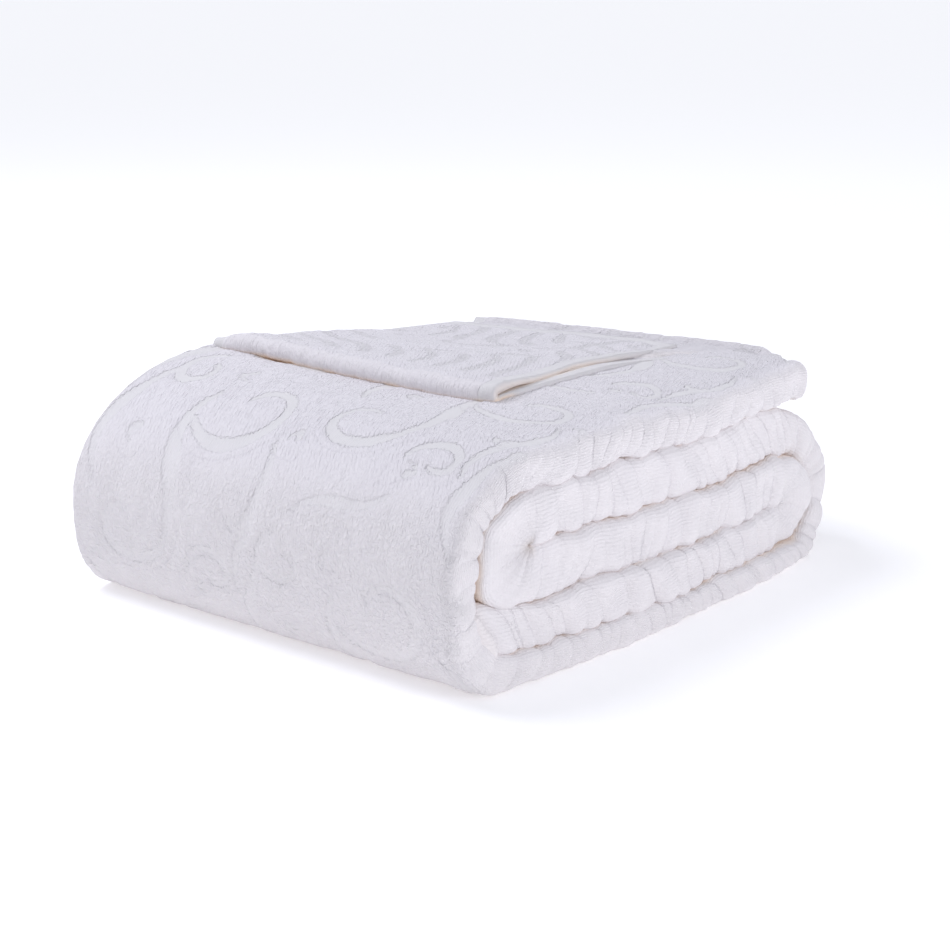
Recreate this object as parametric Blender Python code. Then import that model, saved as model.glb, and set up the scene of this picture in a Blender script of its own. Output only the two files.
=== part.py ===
"""A white terry bedspread, folded for a shelf.

The cloth is first folded across its width into a strip of six plies: three
nested bends make one fat rolled edge on the near side (low Y), and two small
folds and the two side hems lie on the far side (high Y).  The strip is then
folded along its length into five layers.  From the top they are A, B, C, D
and E.  Layer A runs to the front (low X), goes down round the front as a big
bulge, and comes back underneath as layer E.  E turns up round the far end
and becomes B, B rolls over tightly at the front into C, and C doubles back
at the far end into D.  The lowest ply of layer A goes on round its end, over
the top and forward, and is turned back on itself as a flap.

Metres, +Z up, standing on Z = 0 with the middle of its footprint at X = Y = 0.
"""

import math

import bpy
import numpy as np

MM = 0.001

# Driving sizes, in millimetres.
PLIES = 6  # plies in the strip
PLY_GAP = 0.8  # air between two plies
FAR_SIDE = 365.0  # from the middle of the rolled edge to the far side
FAR_FOLD = 5.0  # how far the small far folds stand out past the plies' ends
HEM_BACK = {"lower": 6.0, "upper": 9.0}  # how far each side hem stops short
FLAP_CLOTH = 3.8  # thickness of the single ply that makes the flap
FLAP_AIR = 2.2  # air between the flap and the layer that it lies on

# Columns of the fold table, for the outer and the inner curve of each fold:
# height of its top and of its foot, height and X of the place where it reaches
# furthest, and X where its straight run begins above and below.
COLUMNS = ("top", "foot", "waist", "reach", "x_top", "x_foot")

# A row for each fold, curve and side of the bundle.  "face" is the strip's
# side that is outside at the front bulge, "back" is its other side.
FOLDS = {
    ("front", "face", "near"): (155.0, 0.0, 75.0, -42.0, 42.0, 4.0),
    ("front", "face", "far"): (164.5, 0.0, 69.0, -26.0, 119.0, 14.0),
    ("front", "back", "near"): (128.2, 22.9, 80.0, -19.5, 22.0, 12.0),
    ("front", "back", "far"): (133.8, 24.2, 75.0, -3.0, 68.0, 20.0),
    ("end", "face", "near"): (126.6, 0.0, 43.0, 450.0, 318.0, 388.0),
    ("end", "face", "far"): (110.8, 0.0, 38.0, 458.0, 330.0, 400.0),
    ("end", "back", "near"): (86.7, 18.0, 46.0, 417.0, 352.0, 368.0),
    ("end", "back", "far"): (80.6, 19.0, 43.0, 427.0, 362.0, 378.0),
    ("roll", "face", "near"): (127.0, 56.2, 86.0, -14.0, 34.0, 28.0),
    ("roll", "face", "far"): (132.0, 58.6, 95.0, 27.0, 74.0, 62.0),
    ("roll", "back", "near"): (93.6, 92.2, 92.9, 31.6, 32.0, 32.0),
    ("roll", "back", "far"): (97.1, 95.5, 96.3, 59.6, 60.0, 60.0),
    ("turn", "face", "near"): (51.2, 50.6, 50.9, 345.4, 345.0, 345.0),
    ("turn", "face", "far"): (49.0, 48.4, 48.7, 358.4, 358.0, 358.0),
    ("turn", "back", "near"): (85.1, 18.9, 50.9, 400.0, 345.0, 350.0),
    ("turn", "back", "far"): (79.0, 20.0, 48.7, 408.0, 358.0, 362.0),
}

# The strip's two ends: X and height of its face and back there.
ENDS = {
    ("A", "near"): {"x_face": 388.0, "z_face": 154.0, "x_back": 387.0, "z_back": 127.5},
    ("A", "far"): {"x_face": 444.0, "z_face": 136.0, "x_back": 443.0, "z_back": 112.0},
    ("D", "near"): {"x_face": -14.5, "z_face": 54.0, "x_back": 6.0, "z_back": 24.6},
    ("D", "far"): {"x_face": 4.0, "z_face": 56.4, "x_back": 23.0, "z_back": 25.6},
}
END_CORNER = 60.0  # how far along Y the far end takes to reach its full length

# The strip's sections in order, with the number of steps in each, whether it
# is run from its top to its foot, and where the rolled edge stands (Y) at its
# start, middle and end; "side" is how far its far side stands out or in.
SECTIONS = (
    {"name": "A", "steps": 5, "edge": (-11.0, -15.0, -13.0), "side": (0.0, 2.0, 1.0)},
    {"name": "front", "steps": 10, "edge": (-13.0, -10.0, -15.0), "side": (1.0, 4.0, 2.0)},
    {"name": "E", "steps": 4, "edge": (-15.0, -27.0, -23.0), "side": (2.0, 5.0, 1.0)},
    {"name": "end", "steps": 9, "edge": (-23.0, -1.0, -10.0), "side": (1.0, -4.0, -2.0)},
    {"name": "B", "steps": 4, "edge": (-10.0, -16.0, -15.0), "side": (-2.0, -5.0, -3.0)},
    {"name": "roll", "steps": 6, "edge": (-15.0, -13.0, -15.0), "side": (-3.0, -6.0, -4.0)},
    {"name": "C", "steps": 3, "edge": (-15.0, -17.0, -13.0), "side": (-4.0, -1.0, -4.0)},
    {"name": "turn", "steps": 6, "edge": (-13.0, -12.0, -13.0), "side": (-4.0, -8.0, -5.0)},
    {"name": "D", "steps": 3, "edge": (-13.0, -20.0, -14.0), "side": (-5.0, 1.0, -3.0)},
)
RISING = ("end",)  # folds that are run from their foot to their top
FULLNESS = {  # above and below the waist; 2 is an ellipse, more is squarer
    "front": (2.12, 2.35),
    "end": (2.0, 2.05),
    "roll": (2.5, 2.2),
    "turn": (2.2, 2.2),
}

# Long, low waves that keep the stack from looking machined: share of the
# height, wavelength along X and along Y, and phase in turns.
WAVES = (
    {"share": 0.010, "along_x": 330.0, "along_y": 520.0, "phase": 0.15},
    {"share": 0.007, "along_x": 210.0, "along_y": -640.0, "phase": 0.60},
)

# The flap, at its near side hem and at the far side: X of its front fold and
# of its end, how far apart the middles of its two plies are at the front fold
# and at the end, and Y of its side hem at the end of layer A, at the front
# fold and at its own end.
FLAP = {
    "near": {"x_front": 131.0, "x_end": 398.0, "open_front": 7.6, "open_end": 5.2},
    "far": {"x_front": 117.0, "x_end": 388.0, "open_front": 8.6, "open_end": 5.6},
}
FLAP_HEM = {"corner": 26.0, "lower": 102.0, "fold": 92.0, "upper": 112.0}

# How finely the section is cut: segments across each ply, in each nested bend
# from the outermost in, and in each small far fold.
ROLL_FULLNESS = 2.5  # of the rolled edge's outline; 2 is a half circle
ACROSS = (0.0, 0.075, 0.40, 0.72, 1.0)
BENDS = (7, 5, 3)
FAR_BENDS = 3


def lerp(a, b, t):
    return a + (b - a) * t


def through(three, t):
    """A smooth value that passes three given ones at t = 0, 1/2 and 1."""
    a, m, b = three
    return a * (1 - t) * (1 - 2 * t) + m * 4 * t * (1 - t) + b * t * (2 * t - 1)


def side_share(y, at_end=False, length=False):
    """0 at the near edge and 1 at the far side.  The far end is a round corner
    in plan."""
    share = min(max(y / FAR_SIDE, 0.0), 1.0)
    if at_end and length:
        return (1 - math.exp(-share * FAR_SIDE / END_CORNER)) / (
            1 - math.exp(-FAR_SIDE / END_CORNER)
        )
    return share


def fold_sizes(fold, curve, y):
    at_end = fold in ("end", "turn")
    near, far = FOLDS[(fold, curve, "near")], FOLDS[(fold, curve, "far")]
    return {
        c: lerp(n, f, side_share(y, at_end, c in ("reach", "x_top", "x_foot")))
        for c, n, f in zip(COLUMNS, near, far)
    }


def on_fold(fold, curve, y, t):
    """(x, z) on a fold's curve, t = 0 at its top and 1 at its foot."""
    s, a = fold_sizes(fold, curve, y), math.pi * t
    power = 2 / FULLNESS[fold][t > 0.5]
    out, up = math.sin(a) ** power if 0 < t < 1 else 0.0, abs(math.cos(a)) ** power
    if t <= 0.5:
        return lerp(s["x_top"], s["reach"], out), lerp(s["waist"], s["top"], up)
    return lerp(s["x_foot"], s["reach"], out), lerp(s["waist"], s["foot"], up)


def strip_end(layer, curve, y):
    near, far = ENDS[(layer, "near")], ENDS[(layer, "far")]
    return tuple(
        lerp(near[c + curve], far[c + curve], side_share(y, layer == "A", c == "x_"))
        for c in ("x_", "z_")
    )


def rib(section, t, curve, y):
    """(x, z) of the strip's face or back at t = 0..1 along a section."""
    names = [s["name"] for s in SECTIONS]
    if section in FULLNESS:
        return on_fold(section, curve, y, 1 - t if section in RISING else t)
    i = names.index(section)
    before = rib(names[i - 1], 1.0, curve, y) if i > 0 else strip_end("A", curve, y)
    after = (
        rib(names[i + 1], 0.0, curve, y)
        if i + 1 < len(names)
        else strip_end("D", curve, y)
    )
    return lerp(before[0], after[0], t), lerp(before[1], after[1], t)


def settle(x, y, z):
    """The stack's long waves, none at the surface that it stands on."""
    lift = sum(
        w["share"]
        * math.sin(2 * math.pi * (x / w["along_x"] + y / w["along_y"] + w["phase"]))
        for w in WAVES
    )
    return x, y, z * (1 + lift)


def section_chains(thick, edge, side):
    """The two sides of the cloth in a cut across the strip, as (y, share of
    the half thickness) pairs, from the lower side hem to the upper one."""
    half, third = thick / 2, 1 / 3
    g = PLY_GAP / 2 / half
    yc, yf = edge + half, FAR_SIDE + side - FAR_FOLD
    outer, inner = [], []

    def run(q_out, q_in, start, stop):
        for share in ACROSS if start < stop else ACROSS[::-1]:
            y = lerp(yc, stop if start < stop else start, share)
            outer.append((y, q_out))
            inner.append((y, q_in))

    def bend(centre_y, centre_q, r_out, r_in, first, last, steps, way):
        for k in range(1, steps):
            a = lerp(first, last, k / steps)
            power = 2 / ROLL_FULLNESS if way < 0 else 1.0
            out, up = math.sin(a) ** power, math.cos(a)
            up = math.copysign(abs(up) ** power, up)
            for chain, r in ((outer, r_out), (inner, r_in)):
                chain.append((centre_y + way * r * half * out, centre_q + r * up))

    hems = {name: FAR_SIDE + side - back for name, back in HEM_BACK.items()}
    run(-1.0, -2 * third - g, hems["lower"], yc)
    bend(yc, 0.0, 1.0, 2 * third + g, math.pi, 0.0, BENDS[0], -1)
    run(1.0, 2 * third + g, yc, yf)
    bend(yf, 2 * third, third, g, 0.0, math.pi, FAR_BENDS, 1)
    run(third + g, 2 * third - g, yf, yc)
    bend(yc, 0.0, third + g, 2 * third - g, 0.0, math.pi, BENDS[1], -1)
    run(-third - g, -2 * third + g, yc, yf)
    bend(yf, -third, g, third - g, math.pi, 0.0, FAR_BENDS, 1)
    run(-third + g, -g, yf, yc)
    bend(yc, 0.0, third - g, g, math.pi, 0.0, BENDS[2], -1)
    run(third - g, g, yc, hems["upper"])
    return outer, inner


def station(section, t):
    """One closed loop of points round the cloth, at t along a section."""
    row = next(s for s in SECTIONS if s["name"] == section)
    edge, side = through(row["edge"], t), through(row["side"], t)
    face, back = rib(section, t, "face", 0.0), rib(section, t, "back", 0.0)
    thick = math.dist(face, back)
    outer, inner = section_chains(thick, edge, side)

    def place(y, q):
        fx, fz = rib(section, t, "face", y)
        bx, bz = rib(section, t, "back", y)
        return settle(lerp(bx, fx, (q + 1) / 2), y, lerp(bz, fz, (q + 1) / 2))

    return [place(*p) for p in outer], [place(*p) for p in inner]


def flap_rows(columns):
    """The flap's middle line and half thickness direction, for each step from
    the end of layer A, over the top and forward to its front fold, and back.
    columns are the Y positions of the cloth's columns at the end of layer A,
    from the far hem to the flap's corner."""
    span = columns[0] - columns[-1]
    rows = []

    def row(hem_y, at):
        out = []
        for y0 in columns:
            y = lerp(columns[0], hem_y, (columns[0] - y0) / span)
            out.append((y, *at(y)))
        rows.append(out)

    def sizes(y):
        share = side_share(y)
        return {c: lerp(FLAP["near"][c], FLAP["far"][c], share) for c in FLAP["near"]}

    def top(x, y):
        """Height of layer A's top under the flap."""
        x0, z0 = rib("A", 0.0, "face", y)
        x1, z1 = rib("A", 1.0, "face", y)
        t = (x - x0) / (x1 - x0)
        return lerp(z0, z1, t)

    def round_end(angle):
        def at(y):
            fx, fz = strip_end("A", "face", y)
            bx, bz = strip_end("A", "back", y)
            ply = (fz - bz) / PLIES
            low = bz + ply / 2
            high = fz + FLAP_AIR + FLAP_CLOTH / 2
            r, zc = (high - low) / 2, (high + low) / 2
            x = bx + 1.0
            return (
                x + r * math.sin(angle),
                zc - r * math.cos(angle),
                math.sin(angle),
                -math.cos(angle),
            )

        return at

    def lower(t):
        def at(y):
            s, x0 = sizes(y), strip_end("A", "face", y)[0]
            r = s["open_front"] / 2
            x = lerp(x0, s["x_front"] + r, t)
            return x, top(x, y) + FLAP_AIR + FLAP_CLOTH / 2, 0.0, 1.0

        return at

    def front(angle):
        def at(y):
            s = sizes(y)
            r = s["open_front"] / 2
            x = s["x_front"] + r
            zc = top(x, y) + FLAP_AIR + FLAP_CLOTH / 2 + r
            return (
                x - r * math.sin(angle),
                zc - r * math.cos(angle),
                math.sin(angle),
                math.cos(angle),
            )

        return at

    def upper(t):
        def at(y):
            s = sizes(y)
            x = lerp(s["x_front"] + s["open_front"] / 2, s["x_end"], t)
            gap = lerp(s["open_front"], s["open_end"], t)
            return x, top(x, y) + FLAP_AIR + FLAP_CLOTH / 2 + gap, 0.0, -1.0

        return at

    for k in range(1, 6):
        row(FLAP_HEM["corner"], round_end(math.pi * k / 6))
    for t in (0.0, 0.15, 0.35, 0.6, 0.85):
        hem = lerp(FLAP_HEM["corner"], FLAP_HEM["lower"], min(1.0, t / 0.35) ** 0.8)
        row(lerp(hem, FLAP_HEM["fold"], max(0.0, (t - 0.35) / 0.65)), lower(t))
    for k in range(0, 7):
        row(FLAP_HEM["fold"], front(math.pi * k / 6))
    for t in (0.2, 0.45, 0.7, 0.9, 1.0):
        row(lerp(FLAP_HEM["fold"], FLAP_HEM["upper"], min(1.0, t / 0.45)), upper(t))
    return rows


def build_mesh():
    points, faces = [], []

    def add(p):
        points.append(p)
        return len(points) - 1

    loops = []
    for n, row in enumerate(SECTIONS):
        first = 0 if n == 0 else 1
        for k in range(first, row["steps"] + 1):
            outer, inner = station(row["name"], k / row["steps"])
            loops.append(([add(p) for p in outer], [add(p) for p in inner]))
    count = len(loops[0][0])

    for (o0, i0), (o1, i1) in zip(loops, loops[1:]):
        ring0, ring1 = o0 + i0[::-1], o1 + i1[::-1]
        for k in range(len(ring0)):
            m = (k + 1) % len(ring0)
            faces.append((ring0[k], ring0[m], ring1[m], ring1[k]))

    # The plies' cut ends.  The lowest ply of layer A goes on as the flap, from
    # its far hem to the column at the flap's corner.
    last = len(ACROSS) - 2
    outer, inner = loops[0]
    for k in range(count - 1):
        if k >= last:
            faces.append((outer[k + 1], outer[k], inner[k], inner[k + 1]))
    outer_d, inner_d = loops[-1]
    for k in range(count - 1):
        faces.append((outer_d[k], outer_d[k + 1], inner_d[k + 1], inner_d[k]))

    start = [points[outer[k]][1] for k in range(last + 1)]
    previous = ([outer[k] for k in range(last + 1)], [inner[k] for k in range(last + 1)])
    for line in flap_rows(start):
        down, up = [], []
        for y, x, z, nx, nz in line:
            h = FLAP_CLOTH / 2
            down.append(add(settle(x + nx * h, y, z + nz * h)))
            up.append(add(settle(x - nx * h, y, z - nz * h)))
        (pd, pu) = previous
        for k in range(last):
            faces.append((pd[k + 1], pd[k], down[k], down[k + 1]))
            faces.append((pu[k], pu[k + 1], up[k + 1], up[k]))
        faces.append((pd[0], pu[0], up[0], down[0]))
        faces.append((pu[last], pd[last], down[last], up[last]))
        previous = (down, up)
    (pd, pu) = previous
    for k in range(last):
        faces.append((pd[k + 1], pd[k], pu[k], pu[k + 1]))
    return np.array(points), faces


def terry():
    mat = bpy.data.materials.new("white_terry")
    mat.use_nodes = True
    shader = mat.node_tree.nodes["Principled BSDF"]
    shader.inputs["Base Color"].default_value = (0.85, 0.84, 0.86, 1.0)
    shader.inputs["Roughness"].default_value = 0.95
    shader.inputs["Metallic"].default_value = 0.0
    return mat


def main():
    for old in list(bpy.data.objects):
        bpy.data.objects.remove(old, do_unlink=True)
    points, faces = build_mesh()
    low, high = points.min(axis=0), points.max(axis=0)
    points -= [(low[0] + high[0]) / 2, (low[1] + high[1]) / 2, low[2]]
    points *= MM
    tris = []
    for a, b, c, d in faces:
        tris += [(a, b, c), (a, c, d)]
    corners = points[np.array(tris)]
    if np.linalg.det(corners).sum() < 0:
        faces = [f[::-1] for f in faces]
    mesh = bpy.data.meshes.new("bedspread")
    mesh.from_pydata([tuple(p) for p in points], [], faces)
    mesh.validate()
    mesh.update()
    obj = bpy.data.objects.new("bedspread", mesh)
    bpy.context.scene.collection.objects.link(obj)
    mesh.materials.append(terry())
    mesh.shade_smooth()
    mesh.set_sharp_from_angle(angle=math.radians(50))


main()
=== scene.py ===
"""The looks of a white terry bedspread, folded for a shelf.

The shape is built from the same tables as the CAD part, in millimetres, then
moved to the part's frame.  The visible cloth is cut finely enough for its
sculpted relief, its puffed rolled edges and its hems to be real geometry, and
the pile's ribs and loops are in the material.
"""

import math

import bpy
import numpy as np
from mathutils import Matrix, Vector


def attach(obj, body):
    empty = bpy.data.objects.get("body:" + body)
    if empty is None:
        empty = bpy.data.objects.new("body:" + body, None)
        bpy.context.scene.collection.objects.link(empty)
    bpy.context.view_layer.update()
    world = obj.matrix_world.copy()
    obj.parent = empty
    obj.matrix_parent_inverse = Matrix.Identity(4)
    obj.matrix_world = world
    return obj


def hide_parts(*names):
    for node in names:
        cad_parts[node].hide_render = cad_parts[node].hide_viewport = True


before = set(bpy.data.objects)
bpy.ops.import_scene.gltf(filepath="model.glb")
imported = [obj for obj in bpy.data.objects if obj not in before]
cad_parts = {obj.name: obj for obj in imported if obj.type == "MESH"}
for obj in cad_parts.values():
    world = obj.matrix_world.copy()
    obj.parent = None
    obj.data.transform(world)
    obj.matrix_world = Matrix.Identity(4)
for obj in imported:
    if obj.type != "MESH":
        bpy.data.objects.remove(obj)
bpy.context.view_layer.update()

MM = 0.001
SHIFT = (208.511, 170.645, 0.0)  # the middle of the part's footprint

# ---------------------------------------------------------------- the folds
PLIES = 6
PLY_GAP = 0.8
FAR_SIDE = 365.0
FAR_FOLD = 5.0
HEM_BACK = {"lower": 6.0, "upper": 9.0}
FLAP_CLOTH = 3.8
FLAP_AIR = 0.9

COLUMNS = ("top", "foot", "waist", "reach", "x_top", "x_foot")
FOLDS = {
    ("front", "face", "near"): (155.0, 0.0, 75.0, -42.0, 42.0, 4.0),
    ("front", "face", "far"): (164.5, 0.0, 69.0, -26.0, 119.0, 14.0),
    ("front", "back", "near"): (128.2, 22.9, 80.0, -19.5, 22.0, 12.0),
    ("front", "back", "far"): (133.8, 24.2, 75.0, -3.0, 68.0, 20.0),
    ("end", "face", "near"): (126.6, 0.0, 43.0, 450.0, 318.0, 388.0),
    ("end", "face", "far"): (110.8, 0.0, 38.0, 458.0, 330.0, 400.0),
    ("end", "back", "near"): (86.7, 18.0, 46.0, 417.0, 352.0, 368.0),
    ("end", "back", "far"): (80.6, 19.0, 43.0, 427.0, 362.0, 378.0),
    ("roll", "face", "near"): (127.0, 56.2, 86.0, -17.0, 34.0, 28.0),
    ("roll", "face", "far"): (132.0, 58.6, 95.0, 27.0, 74.0, 62.0),
    ("roll", "back", "near"): (93.6, 92.2, 92.9, 31.6, 32.0, 32.0),
    ("roll", "back", "far"): (97.1, 95.5, 96.3, 59.6, 60.0, 60.0),
    ("turn", "face", "near"): (51.2, 50.6, 50.9, 345.4, 345.0, 345.0),
    ("turn", "face", "far"): (49.0, 48.4, 48.7, 358.4, 358.0, 358.0),
    ("turn", "back", "near"): (85.1, 18.9, 50.9, 400.0, 345.0, 350.0),
    ("turn", "back", "far"): (79.0, 20.0, 48.7, 408.0, 358.0, 362.0),
}
ENDS = {
    ("A", "near"): {"x_face": 388.0, "z_face": 154.0, "x_back": 387.0, "z_back": 127.5},
    ("A", "far"): {"x_face": 444.0, "z_face": 136.0, "x_back": 443.0, "z_back": 112.0},
    ("D", "near"): {"x_face": -26.0, "z_face": 55.0, "x_back": -10.0, "z_back": 24.6},
    ("D", "far"): {"x_face": 4.0, "z_face": 56.4, "x_back": 23.0, "z_back": 25.6},
}
END_CORNER = 60.0
SECTIONS = (
    {"name": "A", "edge": (-11.0, -15.0, -13.0), "side": (0.0, 2.0, 1.0)},
    {"name": "front", "edge": (-13.0, -10.0, -15.0), "side": (1.0, 4.0, 2.0)},
    {"name": "E", "edge": (-15.0, -27.0, -23.0), "side": (2.0, 5.0, 1.0)},
    {"name": "end", "edge": (-23.0, -1.0, -10.0), "side": (1.0, -4.0, -2.0)},
    {"name": "B", "edge": (-10.0, -16.0, -15.0), "side": (-2.0, -5.0, -3.0)},
    {"name": "roll", "edge": (-15.0, -13.0, -15.0), "side": (-3.0, -6.0, -4.0)},
    {"name": "C", "edge": (-15.0, -20.0, -15.0), "side": (-4.0, -1.0, -4.0)},
    {"name": "turn", "edge": (-15.0, -14.0, -16.0), "side": (-4.0, -8.0, -5.0)},
    {"name": "D", "edge": (-16.0, -25.0, -9.0), "side": (-5.0, 1.0, -3.0)},
)
RISING = ("end",)
FULLNESS = {
    "front": (2.12, 2.35),
    "end": (2.0, 2.05),
    "roll": (2.5, 2.75),
    "turn": (2.2, 2.2),
}
WAVES = (
    {"share": 0.010, "along_x": 330.0, "along_y": 520.0, "phase": 0.15},
    {"share": 0.007, "along_x": 210.0, "along_y": -640.0, "phase": 0.60},
)
FLAP = {
    "near": {"x_front": 131.0, "x_end": 398.0, "open_front": 5.0, "open_end": 4.4},
    "far": {"x_front": 116.0, "x_end": 388.0, "open_front": 10.2, "open_end": 4.6},
}
FLAP_HEM = {"corner": 26.0, "lower": 102.0, "fold": 92.0, "upper": 112.0}

# ------------------------------------------------------- how finely it is cut
CELL = 13.4  # a coarse cell, along the cloth and across it
FINE = 5  # a visible cell is cut this many times each way
ROLL_FULLNESS = 6.5
OPEN_FULLNESS = 2.7  # where an edge has no layer above it
BENDS = (5, 3)  # segments in the inner nested bends
FAR_BENDS = 5
ACROSS = (0.0, 0.075, 0.40, 0.72, 1.0)
LEAN_PITCH = 0.0031
ZONE = 30.0  # how far past the rolled edge every layer is cut finely
END_PINCH = {"A": (12.0, 0.62), "D": (5.0, 0.9)}  # reach, and share left


def lerp(a, b, t):
    return a + (b - a) * t


def smooth(a, b, x):
    t = np.clip((x - a) / (b - a), 0.0, 1.0)
    return t * t * (3 - 2 * t)


def through(three, t):
    a, m, b = three
    return a * (1 - t) * (1 - 2 * t) + m * 4 * t * (1 - t) + b * t * (2 * t - 1)


def side_share(y, at_end=False, length=False):
    share = np.clip(np.asarray(y, float) / FAR_SIDE, 0.0, 1.0)
    if at_end and length:
        return (1 - np.exp(-share * FAR_SIDE / END_CORNER)) / (
            1 - math.exp(-FAR_SIDE / END_CORNER)
        )
    return share


def on_fold(fold, curve, y, t):
    at_end = fold in ("end", "turn")
    near, far = FOLDS[(fold, curve, "near")], FOLDS[(fold, curve, "far")]
    s = {
        c: lerp(n, f, side_share(y, at_end, c in ("reach", "x_top", "x_foot")))
        for c, n, f in zip(COLUMNS, near, far)
    }
    upper = t <= 0.5
    power = np.where(upper, 2 / FULLNESS[fold][0], 2 / FULLNESS[fold][1])
    out = np.clip(np.sin(math.pi * t), 0.0, 1.0) ** power
    up = np.abs(np.cos(math.pi * t)) ** power
    x = np.where(upper, lerp(s["x_top"], s["reach"], out), lerp(s["x_foot"], s["reach"], out))
    z = np.where(upper, lerp(s["waist"], s["top"], up), lerp(s["waist"], s["foot"], up))
    return x, z


def strip_end(layer, curve, y):
    near, far = ENDS[(layer, "near")], ENDS[(layer, "far")]
    return tuple(
        lerp(near[c + curve], far[c + curve], side_share(y, layer == "A", c == "x_"))
        for c in ("x_", "z_")
    )


def rib(section, t, curve, y):
    t = np.asarray(t, float)
    names = [s["name"] for s in SECTIONS]
    if section in FULLNESS:
        return on_fold(section, curve, y, 1 - t if section in RISING else t)
    i = names.index(section)
    before = rib(names[i - 1], 1.0, curve, y) if i > 0 else strip_end("A", curve, y)
    after = (
        rib(names[i + 1], 0.0, curve, y)
        if i + 1 < len(names)
        else strip_end("D", curve, y)
    )
    return lerp(before[0], after[0], t), lerp(before[1], after[1], t)


def settle(x, y, z):
    lift = sum(
        w["share"]
        * np.sin(2 * math.pi * (x / w["along_x"] + y / w["along_y"] + w["phase"]))
        for w in WAVES
    )
    z = z * (1 + lift)
    # The creases between the layers wander a little near the rolled edge.
    near = np.exp(-np.clip(y + 15.0, 0.0, None) / 45.0) * smooth(4.0, 34.0, z)
    wander = (
        1.0 * np.sin(2 * math.pi * (x / 128.0 + z / 150.0 + 0.12))
        + 0.6 * np.sin(2 * math.pi * (x / 57.0 - z / 90.0 + 0.40))
        + 0.4 * np.sin(2 * math.pi * (x / 31.0 + z / 60.0 + 0.77))
    )
    push = 1.3 * np.sin(2 * math.pi * (x / 83.0 + z / 47.0)) + 1.1 * np.sin(
        2 * math.pi * (x / 47.0 - z / 71.0 + 0.3)
    )
    return x, y + near * push, z + near * wander


# --------------------------------------------------------------- smooth noise
LATTICE = np.random.default_rng(11).random((256, 256))


def noise(u, v, size, seed=0):
    """Value noise from -1 to 1, in lumps of about this size."""
    p, q = u / size + 17.3 * seed, v / size + 41.7 * seed
    i, j = np.floor(p).astype(int), np.floor(q).astype(int)
    f, g = p - i, q - j
    f, g = f * f * (3 - 2 * f), g * g * (3 - 2 * g)
    a, b = LATTICE[i % 256, j % 256], LATTICE[(i + 1) % 256, j % 256]
    c, d = LATTICE[i % 256, (j + 1) % 256], LATTICE[(i + 1) % 256, (j + 1) % 256]
    return 2 * lerp(lerp(a, b, f), lerp(c, d, f), g) - 1


# ------------------------------------------------------- the sculpted relief
# One repeat of the relief, in millimetres across (u) and along (v) the cloth.
# Bands are low pile; cuts are narrow grooves.
REPEAT = (172.0, 226.0)
COMMAS = (  # low bands that curl in and taper: middle, radii, turns, start, widths
    {"u": 50.0, "v": 62.0, "r0": 46.0, "r1": 13.0, "turns": 0.86, "start": 0.08, "w0": 12.0, "w1": 5.0},
    {"u": 130.0, "v": 158.0, "r0": 42.0, "r1": 12.0, "turns": -0.80, "start": 0.52, "w0": 11.0, "w1": 4.5},
    {"u": 141.0, "v": 46.0, "r0": 23.0, "r1": 8.0, "turns": 0.90, "start": 0.80, "w0": 9.0, "w1": 4.5},
    {"u": 38.0, "v": 180.0, "r0": 25.0, "r1": 8.0, "turns": -0.85, "start": 0.02, "w0": 10.0, "w1": 4.5},
)
SWEEPS = (  # low bands that join them: start, two handles, end, widths there and between
    {"p": ((96.0, 60.0), (118.0, 108.0), (62.0, 116.0), (90.0, 168.0)), "w": (4.0, 17.0, 5.0)},
    {"p": ((6.0, 86.0), (-22.0, 128.0), (20.0, 146.0), (14.0, 186.0)), "w": (4.0, 12.0, 4.0)},
    {"p": ((166.0, 132.0), (196.0, 96.0), (168.0, 74.0), (162.0, 44.0)), "w": (4.0, 13.0, 4.0)},
    {"p": ((60.0, 214.0), (84.0, 236.0), (112.0, 216.0), (136.0, 238.0)), "w": (4.0, 9.0, 4.0)},
)
DROPS = (  # drop shapes with a groove round them: tip, length, breadth, turn
    {"u": 84.0, "v": 14.0, "long": 44.0, "wide": 33.0, "turn": 0.16},
    {"u": 74.0, "v": 206.0, "long": 36.0, "wide": 28.0, "turn": 0.60},
    {"u": 152.0, "v": 208.0, "long": 34.0, "wide": 26.0, "turn": 0.85},
    {"u": 30.0, "v": 122.0, "long": 36.0, "wide": 27.0, "turn": 0.36},
    {"u": 120.0, "v": 92.0, "long": 38.0, "wide": 29.0, "turn": 0.05},
)


def spiral(s, offset=0.0, steps=44):
    t = np.linspace(0.0, 1.0, steps)
    a = 2 * math.pi * (s["start"] + s["turns"] * t)
    r = s["r0"] * (s["r1"] / s["r0"]) ** t + offset
    # Not quite round, as a drawn curl isn't.
    return np.stack([s["u"] + 1.12 * r * np.cos(a), s["v"] + 0.92 * r * np.sin(a)], axis=1)


def sweep(s, steps=18):
    t = np.linspace(0.0, 1.0, steps)[:, None]
    a, b, c, d = (np.array(p) for p in s["p"])
    return a * (1 - t) ** 3 + 3 * b * t * (1 - t) ** 2 + 3 * c * t * t * (1 - t) + d * t**3


def drop(s, scale=1.0, steps=30):
    t = np.linspace(0.0, 2 * math.pi, steps)
    along = s["long"] * (0.5 - 0.5 * np.cos(t))
    across = s["wide"] * 0.5 * np.sin(t) * np.sin(t / 2) ** 0.45 * 1.06
    across = across + 0.22 * s["wide"] * np.sin(along / s["long"] * math.pi) ** 2
    middle = 0.62 * s["long"]
    along, across = middle + (along - middle) * scale, across * scale
    a = 2 * math.pi * s["turn"]
    return np.stack(
        [s["u"] + along * math.cos(a) - across * math.sin(a),
         s["v"] + along * math.sin(a) + across * math.cos(a)], axis=1)


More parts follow.
